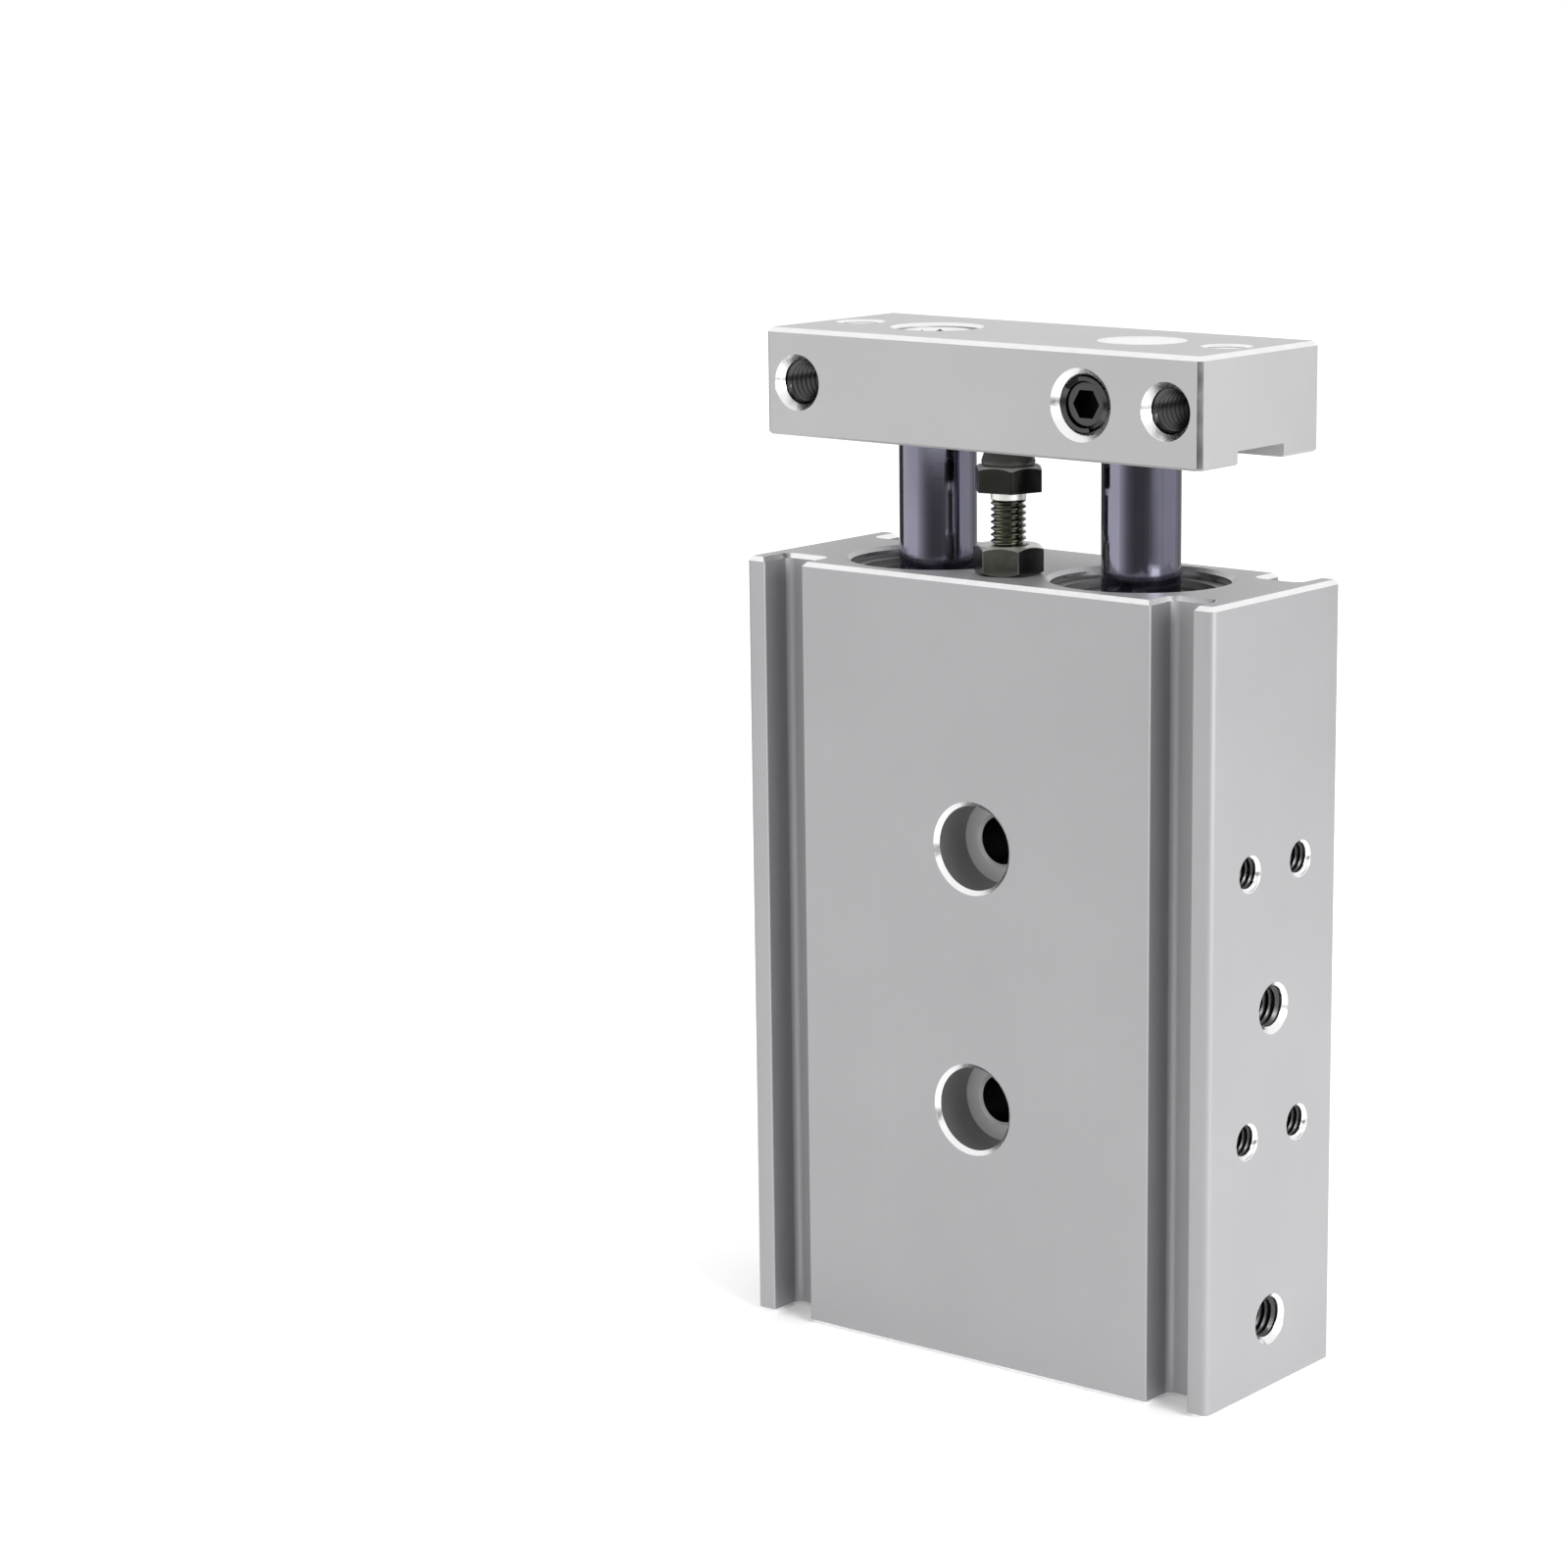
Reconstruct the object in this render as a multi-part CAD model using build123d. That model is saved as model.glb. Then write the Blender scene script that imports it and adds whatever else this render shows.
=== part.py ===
from build123d import *
import os

# Twin rod pneumatic cylinder, double acting, with its rods drawn in.
# Millimetres. The origin is the middle of the body's lower face. +Z is the stroke,
# +X points to the side with the ports and +Y to the back.

# Gaps between pieces
seat_gap = 0.02
running_gap = 0.04
end_gap = 0.05

# Body, an extruded block cut to length
stroke = 20.0
length_beyond_stroke = 70.0
body_width = 64.0
body_depth = 25.0
bore_diameter = 20.0
body_corner_radius = 0.8
body_end_chamfer = 0.4
mouth_chamfer = 0.8

# Sensor grooves along the front and the back of the body
groove_rib = 2.65
groove_width = 5.45
groove_depth = 4.4
groove_floor_radius = 0.9

# Through holes for mounting screws, in the web between the bores
lower_hole_height = 30.0
hole_spacing = 30.0
through_hole_diameter = 5.5
counterbore_diameter = 9.6
counterbore_depth = 5.3

# Threaded mounting holes in the body's side, between the ports
side_hole_spacing = 10.0
side_hole_diameter = 3.3
side_hole_depth = 6.0

# Ports and the air passages behind them
port_diameter = 4.2
port_depth = 6.0
port_chamfer = 0.8
passage_diameter = 3.0
head_port_inset = 2.35
rod_port_inset = 1.95

# Retaining rings in the bores' mouths
ring_recess = 1.2
ring_thickness = 1.0
ring_bite = 0.5
ring_groove_play = 0.03
upper_ring_turn = 0.0
lower_ring_turn = 0.0
ring_back_width = 2.1
ring_front_width = 1.5
ring_opening = 4.6
lug_width = 3.0
lug_gap = 1.5

# Head covers, which close the bores below
head_cover_thickness = 3.8

# Piston rods
rod_diameter = 8.8
rod_end_chamfer = 0.5
tail_diameter = 5.0

# Pistons, from the nut at the bottom to the end that meets the rod cover
stop_adjustment = 2.5
piston_nut_flats = 8.0
piston_nut_height = 2.7
magnet_gap = 0.8
magnet_hub_diameter = 12.4
magnet_thickness = 4.8
piston_thickness = 10.0

# Rod covers, which guide the rods, and what lies above them
rod_seal_height = 3.6
seal_retainer_thickness = 2.0
seal_retainer_play = 0.3
seal_retainer_cone = 1.1

# End plate
plate_width = 59.0
plate_depth = 23.0
plate_thickness = 12.0
plate_gap = 14.0
plate_corner_chamfer = 0.5
plate_top_chamfer = 0.5
plate_bottom_chamfer = 0.3
channel_width = 9.0
channel_depth = 1.5
plate_hole_inset = 4.5
plate_thread_diameter = 4.2
plate_front_hole_depth = 9.0
plate_front_hole_chamfer = 1.05
rod_seat_depth = 1.5

# Socket head screw in the left rod
cap_screw_diameter = 5.0
cap_screw_length = 16.0
cap_screw_head_diameter = 8.5
cap_screw_head_height = 5.0
cap_screw_head_recess = 0.4
cap_screw_socket = 4.0
cap_screw_socket_depth = 2.5
cap_screw_counterbore = 9.8
cap_screw_hole = 5.5
cap_screw_tip_room = 1.5

# Set screw that clamps the right rod from the plate's front
set_screw_diameter = 6.0
set_screw_length = 6.0
set_screw_socket = 3.0
set_screw_socket_depth = 3.0
set_screw_hole_chamfer = 0.95

# Stop bolt between the rods, with its lock nut and bumper
stop_bolt_forward = 5.5
stop_bolt_diameter = 4.0
stop_bolt_length = 25.0
stop_bolt_head_height = 2.8
stop_bolt_flats = 7.0
stop_bolt_turn = -48.0
stop_bolt_hole_room = 1.5
lock_nut_height = 3.2
lock_nut_turn = -38.0
bumper_diameter = 6.0
bumper_top_diameter = 5.0
bumper_thickness = 2.0

# Heights that follow from the sizes above
body_length = stroke + length_beyond_stroke
bore_wall = (body_width - 2 * bore_diameter) / 3
bore_pitch = bore_diameter + bore_wall
bore_radius = bore_diameter / 2
rod_radius = rod_diameter / 2
tail_radius = tail_diameter / 2
cover_radius = bore_radius - seat_gap
slider_radius = bore_radius - running_gap
magnet_radius = bore_radius - magnet_gap
lug_length = bore_radius + ring_bite - rod_radius - lug_gap
chamber_bottom = ring_recess + ring_thickness + head_cover_thickness
nut_bottom = chamber_bottom + stop_adjustment
magnet_bottom = nut_bottom + piston_nut_height
piston_bottom = magnet_bottom + magnet_thickness
piston_top = piston_bottom + piston_thickness
chamber_top = piston_top + stroke + end_gap
upper_ring_bottom = body_length - ring_recess - ring_thickness
seal_top = upper_ring_bottom - seal_retainer_thickness
cover_top = seal_top - rod_seal_height
head_port_height = chamber_bottom + head_port_inset
rod_port_height = chamber_top - rod_port_inset
plate_bottom = body_length + plate_gap
plate_top = plate_bottom + plate_thickness
plate_middle = (plate_bottom + plate_top) / 2
channel_ceiling = plate_bottom + channel_depth
bumper_bottom = plate_bottom - bumper_thickness
stop_bolt_seat = bumper_bottom - stop_bolt_head_height
stop_bolt_tip = stop_bolt_seat - stop_bolt_length
cap_screw_seat = plate_top - cap_screw_head_recess - cap_screw_head_height
sides = {"left": -bore_pitch / 2, "right": bore_pitch / 2}


def turned(outline, x=0.0, y=0.0):
    """A turned piece: pairs of radius and height, spun about the upright axis at x, y."""
    section = make_face(Polyline(*[(radius, 0, height) for radius, height in outline], close=True))
    return Pos(x, y, 0) * revolve(section, Axis.Z)


def tube(inner, outer, low, high, x=0.0, y=0.0):
    """A plain ring or sleeve between two radii and two heights."""
    return turned([(inner, low), (outer, low), (outer, high), (inner, high)], x, y)


def hexagon(flats, low, high, turn, x=0.0, y=0.0):
    """An upright hexagonal prism, measured across its flats."""
    outline = RegularPolygon(flats / 2, 6, major_radius=False)
    return Pos(x, y, low) * Rot(0, 0, turn) * extrude(outline, high - low)


def drilled_hole(radius, depth, chamfer_width):
    """A cutter for a blind round hole with a chamfered mouth, going down from the origin."""
    return turned(
        [(0, -depth), (radius, -depth), (radius, -chamfer_width), (radius + chamfer_width, 0), (0, 0)]
    )


def facing(x, y, z, outward):
    """A place on a surface, with its own upright axis along the outward direction."""
    return Plane(origin=(x, y, z), z_dir=outward).location


def body():
    """The block with its bores, sensor grooves, mounting holes, ports and stop bolt hole."""
    block = extrude(RectangleRounded(body_width, body_depth, body_corner_radius), body_length)
    block = chamfer(block.faces().filter_by(Axis.Z).edges(), body_end_chamfer)
    groove_x = body_width / 2 - groove_rib - groove_width / 2
    groove = extrude(RectangleRounded(groove_width, 2 * groove_depth, groove_floor_radius), body_length)
    for across in (-1, 1):
        for depthwise in (-1, 1):
            block -= Pos(across * groove_x, depthwise * body_depth / 2) * groove
    for x in sides.values():
        block -= bore_cutter(x)
    for height in (lower_hole_height, lower_hole_height + hole_spacing):
        block -= through_hole_cutter(height)
        for y in (-side_hole_spacing / 2, side_hole_spacing / 2):
            mouth = facing(body_width / 2, y, height, (1, 0, 0))
            block -= mouth * extrude(Circle(side_hole_diameter / 2), -side_hole_depth)
    passage_length = body_width / 2 + bore_pitch / 2
    for height in (head_port_height, rod_port_height):
        mouth = facing(body_width / 2, 0, height, (1, 0, 0))
        block -= mouth * drilled_hole(port_diameter / 2, port_depth, port_chamfer)
        block -= mouth * extrude(Circle(passage_diameter / 2), -passage_length)
    bolt_hole_depth = body_length - stop_bolt_tip + stop_adjustment + stop_bolt_hole_room
    bolt_mouth = facing(0, -stop_bolt_forward, body_length, (0, 0, 1))
    block -= bolt_mouth * extrude(Circle(stop_bolt_diameter / 2 + running_gap), -bolt_hole_depth)
    return block


def bore_cutter(x):
    """One bore with chamfered mouths and a groove for a retaining ring at each end."""
    outline = [(0, 0), (bore_radius + mouth_chamfer, 0), (bore_radius, mouth_chamfer)]
    for ring_bottom in (ring_recess, upper_ring_bottom):
        low = ring_bottom - ring_groove_play
        high = ring_bottom + ring_thickness + ring_groove_play
        groove = bore_radius + ring_bite
        outline += [(bore_radius, low), (groove, low), (groove, high), (bore_radius, high)]
    outline += [
        (bore_radius, body_length - mouth_chamfer),
        (bore_radius + mouth_chamfer, body_length),
        (0, body_length),
    ]
    return turned(outline, x)


def through_hole_cutter(height):
    """A hole from front to back with a counterbore for a screw's head in front."""
    hole = extrude(Circle(through_hole_diameter / 2), -body_depth)
    counterbore = extrude(Circle(counterbore_diameter / 2), -counterbore_depth)
    return facing(0, -body_depth / 2, height, (0, -1, 0)) * (hole + counterbore)


def retaining_ring(low, opening_turn, x):
    """A flat spring ring, widest opposite its opening, with a lug for the pliers at each end."""
    outer = bore_radius + ring_bite - seat_gap
    inner = outer - (ring_back_width + ring_front_width) / 2
    band = Circle(outer) - Pos(0, (ring_front_width - ring_back_width) / 2) * Circle(inner)
    for end in (-1, 1):
        lug_x = end * (ring_opening + lug_width) / 2
        band += Pos(lug_x, lug_length / 2 - outer) * Rectangle(lug_width, lug_length) & Circle(outer)
    band -= Pos(0, -outer) * Rectangle(ring_opening, outer)
    return Pos(x, 0, low) * Rot(0, 0, opening_turn) * extrude(band, ring_thickness)


def head_cover(x):
    """The disc that closes a bore below."""
    return tube(0, cover_radius, ring_recess + ring_thickness, chamber_bottom, x)


def rod_cover(x):
    """The long sleeve that guides a rod."""
    return tube(rod_radius + running_gap, cover_radius, chamber_top, cover_top, x)


def rod_seal(x):
    """The rubber ring that seals a rod, held between its cover and the retainer."""
    return tube(rod_radius + running_gap, cover_radius, cover_top, seal_top, x)


def seal_retainer(x):
    """The bright ring that keeps the rod seal in, coned round the rod."""
    inner = rod_radius + seal_retainer_play
    cone_bottom = upper_ring_bottom - seal_retainer_cone
    outline = [
        (inner, seal_top),
        (cover_radius, seal_top),
        (cover_radius, upper_ring_bottom),
        (inner + seal_retainer_cone, upper_ring_bottom),
        (inner, cone_bottom),
    ]
    return turned(outline, x)


def piston(x):
    """The piston, and below it the hub that carries the magnet."""
    bore = tail_radius + seat_gap
    hub = magnet_hub_diameter / 2
    outline = [
        (bore, magnet_bottom),
        (hub, magnet_bottom),
        (hub, piston_bottom),
        (slider_radius, piston_bottom),
        (slider_radius, piston_top),
        (bore, piston_top),
    ]
    return turned(outline, x)


def magnet(x):
    """The ring magnet that the sensors in the body's grooves read."""
    return tube(magnet_hub_diameter / 2 + seat_gap, magnet_radius, magnet_bottom, piston_bottom, x)


def piston_nut(x):
    """The thin nut on the rod's tail that clamps the piston to the rod."""
    nut = hexagon(piston_nut_flats, nut_bottom, magnet_bottom, 0, x)
    return nut - tube(0, tail_radius + seat_gap, nut_bottom, magnet_bottom, x)


def left_piston_rod():
    """The rod that the socket head screw draws against its seat in the plate."""
    top = channel_ceiling + rod_seat_depth
    thread = cap_screw_diameter / 2 + seat_gap
    thread_bottom = cap_screw_seat - cap_screw_length - cap_screw_tip_room
    outline = [
        (0, nut_bottom),
        (tail_radius, nut_bottom),
        (tail_radius, piston_top),
        (rod_radius, piston_top),
        (rod_radius, top),
        (thread, top),
        (thread, thread_bottom),
        (0, thread_bottom),
    ]
    return turned(outline, sides["left"])


def right_piston_rod():
    """The rod that goes right through the plate and ends flush with its top."""
    outline = [
        (0, nut_bottom),
        (tail_radius, nut_bottom),
        (tail_radius, piston_top),
        (rod_radius, piston_top),
        (rod_radius, plate_top - rod_end_chamfer),
        (rod_radius - rod_end_chamfer, plate_top),
        (0, plate_top),
    ]
    return turned(outline, sides["right"])


def end_plate():
    """The plate that joins both rods, with threads for the load on its top and front."""
    blank = Pos(0, 0, plate_bottom) * extrude(Rectangle(plate_width, plate_depth), plate_thickness)
    blank = chamfer(blank.edges().filter_by(Axis.Z), plate_corner_chamfer)
    blank = chamfer(blank.faces().sort_by(Axis.Z)[-1].edges(), plate_top_chamfer)
    blank = chamfer(blank.faces().sort_by(Axis.Z)[0].edges(), plate_bottom_chamfer)
    channel = Pos(0, 0, plate_bottom) * extrude(Rectangle(plate_width, channel_width), channel_depth)
    plate = blank - channel
    left, right = sides["left"], sides["right"]
    rod_hole = rod_radius + seat_gap
    plate -= tube(0, rod_hole, plate_bottom, channel_ceiling + rod_seat_depth, left)
    plate -= tube(0, cap_screw_hole / 2, plate_bottom, plate_top, left)
    plate -= tube(0, cap_screw_counterbore / 2, cap_screw_seat, plate_top, left)
    plate -= tube(0, rod_hole, plate_bottom, plate_top, right)
    plate -= facing(right, -plate_depth / 2, plate_middle, (0, -1, 0)) * drilled_hole(
        set_screw_diameter / 2 + seat_gap, plate_depth / 2, set_screw_hole_chamfer
    )
    for across in (-1, 1):
        x = across * (plate_width / 2 - plate_hole_inset)
        thread = plate_thread_diameter / 2
        plate -= tube(0, thread, plate_bottom, plate_top, x)
        plate -= facing(x, -plate_depth / 2, plate_middle, (0, -1, 0)) * drilled_hole(
            thread, plate_front_hole_depth, plate_front_hole_chamfer
        )
    return plate


def cap_screw():
    """The socket head screw that holds the left rod in the plate."""
    x = sides["left"]
    head = cap_screw_head_diameter / 2
    head_top = cap_screw_seat + cap_screw_head_height
    shank = cap_screw_diameter / 2
    tip = cap_screw_seat - cap_screw_length
    outline = [
        (0, tip),
        (shank, tip),
        (shank, cap_screw_seat),
        (head, cap_screw_seat),
        (head, head_top),
        (0, head_top),
    ]
    return turned(outline, x) - hexagon(cap_screw_socket, head_top - cap_screw_socket_depth, head_top, 0, x)


def set_screw():
    """The headless screw that presses on the right rod from the plate's front."""
    screw = extrude(Circle(set_screw_diameter / 2), set_screw_length)
    socket = hexagon(set_screw_socket, set_screw_length - set_screw_socket_depth, set_screw_length, 0)
    return facing(sides["right"], -rod_radius - seat_gap, plate_middle, (0, -1, 0)) * (screw - socket)


def stop_bolt():
    """The hexagon head bolt that the plate comes down on."""
    y = -stop_bolt_forward
    head = hexagon(stop_bolt_flats, stop_bolt_seat, bumper_bottom, stop_bolt_turn, 0, y)
    return head + tube(0, stop_bolt_diameter / 2, stop_bolt_tip, stop_bolt_seat, 0, y)


def stop_bumper():
    """The urethane button on the stop bolt's head."""
    outline = [
        (0, bumper_bottom),
        (bumper_diameter / 2, bumper_bottom),
        (bumper_top_diameter / 2, plate_bottom),
        (0, plate_bottom),
    ]
    return turned(outline, 0, -stop_bolt_forward)


def lock_nut():
    """The nut that locks the stop bolt against the body's top."""
    y = -stop_bolt_forward
    high = body_length + lock_nut_height
    nut = hexagon(stop_bolt_flats, body_length, high, lock_nut_turn, 0, y)
    return nut - tube(0, stop_bolt_diameter / 2 + running_gap, body_length, high, 0, y)


pieces = {
    "body": body(),
    "left_piston_rod": left_piston_rod(),
    "right_piston_rod": right_piston_rod(),
    "end_plate": end_plate(),
    "plate_cap_screw": cap_screw(),
    "plate_set_screw": set_screw(),
    "stop_bolt": stop_bolt(),
    "stop_bumper": stop_bumper(),
    "lock_nut": lock_nut(),
}
for side, x in sides.items():
    pieces[f"{side}_rod_cover"] = rod_cover(x)
    pieces[f"{side}_rod_seal"] = rod_seal(x)
    pieces[f"{side}_seal_retainer"] = seal_retainer(x)
    pieces[f"{side}_rod_retaining_ring"] = retaining_ring(upper_ring_bottom, upper_ring_turn, x)
    pieces[f"{side}_piston"] = piston(x)
    pieces[f"{side}_magnet"] = magnet(x)
    pieces[f"{side}_piston_nut"] = piston_nut(x)
    pieces[f"{side}_head_cover"] = head_cover(x)
    pieces[f"{side}_head_retaining_ring"] = retaining_ring(ring_recess, lower_ring_turn, x)

os.makedirs("parts", exist_ok=True)
for name, piece in pieces.items():
    export_step(piece, f"parts/{name}.step")
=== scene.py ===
import math

import bpy
from mathutils import Matrix, Vector


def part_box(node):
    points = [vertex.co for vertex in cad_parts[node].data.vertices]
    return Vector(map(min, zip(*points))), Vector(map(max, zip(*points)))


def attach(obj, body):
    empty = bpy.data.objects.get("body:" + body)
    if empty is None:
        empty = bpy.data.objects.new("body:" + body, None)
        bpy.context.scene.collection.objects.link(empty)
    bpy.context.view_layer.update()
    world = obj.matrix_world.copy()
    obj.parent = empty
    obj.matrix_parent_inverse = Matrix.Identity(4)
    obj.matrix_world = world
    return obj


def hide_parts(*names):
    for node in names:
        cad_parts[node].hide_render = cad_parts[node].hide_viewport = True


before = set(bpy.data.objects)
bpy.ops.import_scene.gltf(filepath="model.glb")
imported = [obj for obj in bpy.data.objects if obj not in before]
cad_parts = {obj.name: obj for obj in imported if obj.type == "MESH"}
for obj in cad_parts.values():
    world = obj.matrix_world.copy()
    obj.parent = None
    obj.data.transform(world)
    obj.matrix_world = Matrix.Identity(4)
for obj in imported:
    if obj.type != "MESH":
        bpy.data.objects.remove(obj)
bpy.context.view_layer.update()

# Lengths below are in millimetres and become metres where a mesh is made.
MM = 0.001


def box_mm(node):
    """The lowest and highest corner of a CAD node, in millimetres."""
    low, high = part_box(node)
    return low / MM, high / MM


body_high = box_mm("body")[1]
plate_low, plate_high = box_mm("end_plate")
left_rod_low, left_rod_high = box_mm("left_piston_rod")
right_rod_low, right_rod_high = box_mm("right_piston_rod")
bolt_low, bolt_high = box_mm("stop_bolt")
nut_low, nut_high = box_mm("lock_nut")
bumper_low, bumper_high = box_mm("stop_bumper")
retainer_low, retainer_high = box_mm("right_seal_retainer")
upper_ring_low, upper_ring_high = box_mm("right_rod_retaining_ring")
lower_ring_low, lower_ring_high = box_mm("right_head_retaining_ring")
cap_low, cap_high = box_mm("plate_cap_screw")
set_low, set_high = box_mm("plate_set_screw")

BODY_LENGTH = body_high.z
HALF_WIDTH = body_high.x
HALF_DEPTH = body_high.y
BORE_X = (right_rod_low.x + right_rod_high.x) / 2
ROD_RADIUS = (right_rod_high.x - right_rod_low.x) / 2
BOLT_Y = (bolt_low.y + bolt_high.y) / 2
PLATE_MIDDLE = (plate_low.z + plate_high.z) / 2
BORE_RADIUS = 10.0
# How far the sharp corners of hexagons and the plate are rounded
CORNER_BREAK = 0.12
SIDES = {"left": -BORE_X, "right": BORE_X}


def rounded(corners, steps=5, closed=True):
    """Points of a flat outline whose corners (across, up, radius) are rounded by arcs."""
    points = []
    count = len(corners)
    for index, (x, y, radius) in enumerate(corners):
        corner = Vector((x, y))
        inner = closed or 0 < index < count - 1
        if not inner or radius <= 0:
            points.append((x, y))
            continue
        before = (Vector(corners[index - 1][:2]) - corner).normalized()
        after = (Vector(corners[(index + 1) % count][:2]) - corner).normalized()
        opening = before.angle(after)
        reach = radius / math.tan(opening / 2)
        centre = corner + (before + after).normalized() * radius / math.sin(opening / 2)
        start = corner + before * reach - centre
        turn = math.pi - opening
        if before.cross(after) > 0:
            turn = -turn
        for step in range(steps + 1):
            spoke = start.copy()
            spoke.rotate(Matrix.Rotation(turn * step / steps, 2))
            points.append(tuple(centre + spoke))
    return points


def add_piece(name, points, faces, place=Matrix.Identity(4)):
    """A mesh object from points in millimetres, moved to its place."""
    mesh = bpy.data.meshes.new(name)
    mesh.from_pydata([tuple((place @ Vector(point)) * MM) for point in points], [], faces)
    mesh.validate()
    piece = bpy.data.objects.new(name, mesh)
    bpy.context.scene.collection.objects.link(piece)
    return piece


def lathe(name, outline, place=Matrix.Identity(4), segments=96, closed=False):
    """A turned piece: (radius, height) points spun about the upright axis."""
    points = []
    rings = []
    for radius, height in outline:
        if radius < 1e-6:
            rings.append([len(points)] * segments)
            points.append((0, 0, height))
            continue
        rings.append(list(range(len(points), len(points) + segments)))
        for step in range(segments):
            angle = 2 * math.pi * step / segments
            points.append((radius * math.cos(angle), radius * math.sin(angle), height))
    faces = []
    pairs = list(zip(rings, rings[1:]))
    if closed:
        pairs.append((rings[-1], rings[0]))
    for low, high in pairs:
        for step in range(segments):
            after = (step + 1) % segments
            face = [low[step], low[after], high[after], high[step]]
            kept = [point for index, point in enumerate(face) if point not in face[:index]]
            if len(kept) > 2:
                faces.append(kept)
    return add_piece(name, points, faces, place)


def inset(corners, reach):
    """An outline's corners moved inwards, with the round ones rounder or tighter to match."""
    moved = []
    for index, (x, y, radius) in enumerate(corners):
        here = Vector((x, y))
        along_in = (here - Vector(corners[index - 1][:2])).normalized()
        along_out = (Vector(corners[(index + 1) % len(corners)][:2]) - here).normalized()
        inward = Vector((-along_in.y - along_out.y, along_in.x + along_out.x))
        place = here + inward * reach / (1 + along_in.dot(along_out))
        if radius and along_in.cross(along_out) > 0:
            radius = max(radius - reach, 0.02)
        elif radius:
            radius += reach
        moved.append((place.x, place.y, radius))
    return moved


def prism(name, corners, low, high, chamfer=0.0, place=Matrix.Identity(4), low_chamfer=None):
    """An upright prism over a flat outline, with a chamfer along both ends."""
    outline = rounded(corners)
    count = len(outline)
    levels = [(outline, low), (outline, high)]
    if chamfer:
        below = chamfer if low_chamfer is None else low_chamfer
        foot = rounded(inset(corners, below))
        head = rounded(inset(corners, chamfer))
        levels = [(foot, low), (outline, low + below), (outline, high - chamfer), (head, high)]
    points = [(x, y, z) for level, z in levels for x, y in level]
    faces = [list(reversed(range(count))), list(range(len(points) - count, len(points)))]
    for level in range(len(levels) - 1):
        base = level * count
        for step in range(count):
            after = (step + 1) % count
            faces.append([base + step, base + after, base + count + after, base + count + step])
    return add_piece(name, points, faces, place)


def helix(name, profile, pitch, low, high, place=Matrix.Identity(4), segments=48, taper=0.0):
    """A threaded wall: (share of the pitch, radius) points wound about the upright axis.

    An inner thread with a taper grows out of its hole's cone, whose slope the taper is.
    """
    root = max(radius for share, radius in profile)
    turns = int((high - low) / pitch) + 2
    rows = [
        (low + (turn - 1 + share) * pitch, radius)
        for turn in range(turns + 1)
        for share, radius in profile
    ]
    points = []
    for height, radius in rows:
        for step in range(segments):
            angle = 2 * math.pi * step / segments
            z = min(max(height + pitch * step / segments, low), high)
            across = max(radius, root - (high - z) / taper) if taper else radius
            points.append((across * math.cos(angle), across * math.sin(angle), z))
    faces = []
    wind = len(profile)
    for row in range(len(rows) - 1):
        for step in range(segments):
            a, d = row * segments + step, (row + 1) * segments + step
            if step < segments - 1:
                face = [a, a + 1, d + 1, d]
            elif row + 1 + wind < len(rows):
                face = [a, (row + wind) * segments, (row + 1 + wind) * segments, d]
            else:
                continue
            if points[face[0]][2] != points[face[3]][2] or points[face[1]][2] != points[face[2]][2]:
                faces.append(face)
    return add_piece(name, points, faces, place)


def cut(piece, cutters, operation="DIFFERENCE"):
    """Cuts the cutters out of a piece, or joins or keeps what they share, and removes them."""
    for cutter in cutters:
        modifier = piece.modifiers.new("cut", "BOOLEAN")
        modifier.operation = operation
        modifier.solver = "EXACT"
        modifier.object = cutter
    bpy.context.view_layer.update()
    depsgraph = bpy.context.evaluated_depsgraph_get()
    result = bpy.data.meshes.new_from_object(piece.evaluated_get(depsgraph))
    piece.modifiers.clear()
    piece.data = result
    for cutter in cutters:
        bpy.data.objects.remove(cutter)
    return piece


def shade(piece, angle=26.0):
    """Smooth shading that breaks at edges sharper than the angle."""
    mesh = piece.data
    mesh.polygons.foreach_set("use_smooth", [True] * len(mesh.polygons))
    normals = {}
    for polygon in mesh.polygons:
        for key in polygon.edge_keys:
            normals.setdefault(key, []).append(polygon.normal)
    limit = math.cos(math.radians(angle))
    for edge in mesh.edges:
        around = normals.get(edge.key, [])
        edge.use_edge_sharp = len(around) != 2 or around[0].dot(around[1]) < limit
    return piece


def joined(name, pieces):
    """One object made of several."""
    points = []
    faces = []
    for piece in pieces:
        base = len(points)
        points += [tuple(vertex.co / MM) for vertex in piece.data.vertices]
        faces += [[base + index for index in polygon.vertices] for polygon in piece.data.polygons]
        bpy.data.objects.remove(piece)
    return add_piece(name, points, faces)


def facing(x, y, z, outward):
    """A place on a surface, with its own upright axis along the outward direction."""
    turn = Vector((0, 0, 1)).rotation_difference(Vector(outward)).to_matrix().to_4x4()
    return Matrix.Translation((x, y, z)) @ turn


def upright(x, y=0.0, z=0.0):
    """A place on an upright axis."""
    return Matrix.Translation((x, y, z))


def hexagon(flats, turn=0.0):
    """The corners of a hexagon measured across its flats, slightly rounded."""
    corner = flats / 2 / math.cos(math.radians(30))
    angles = [math.radians(60 * index + turn) for index in range(6)]
    return [(corner * math.cos(angle), corner * math.sin(angle), CORNER_BREAK) for angle in angles]


# Materials


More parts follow.
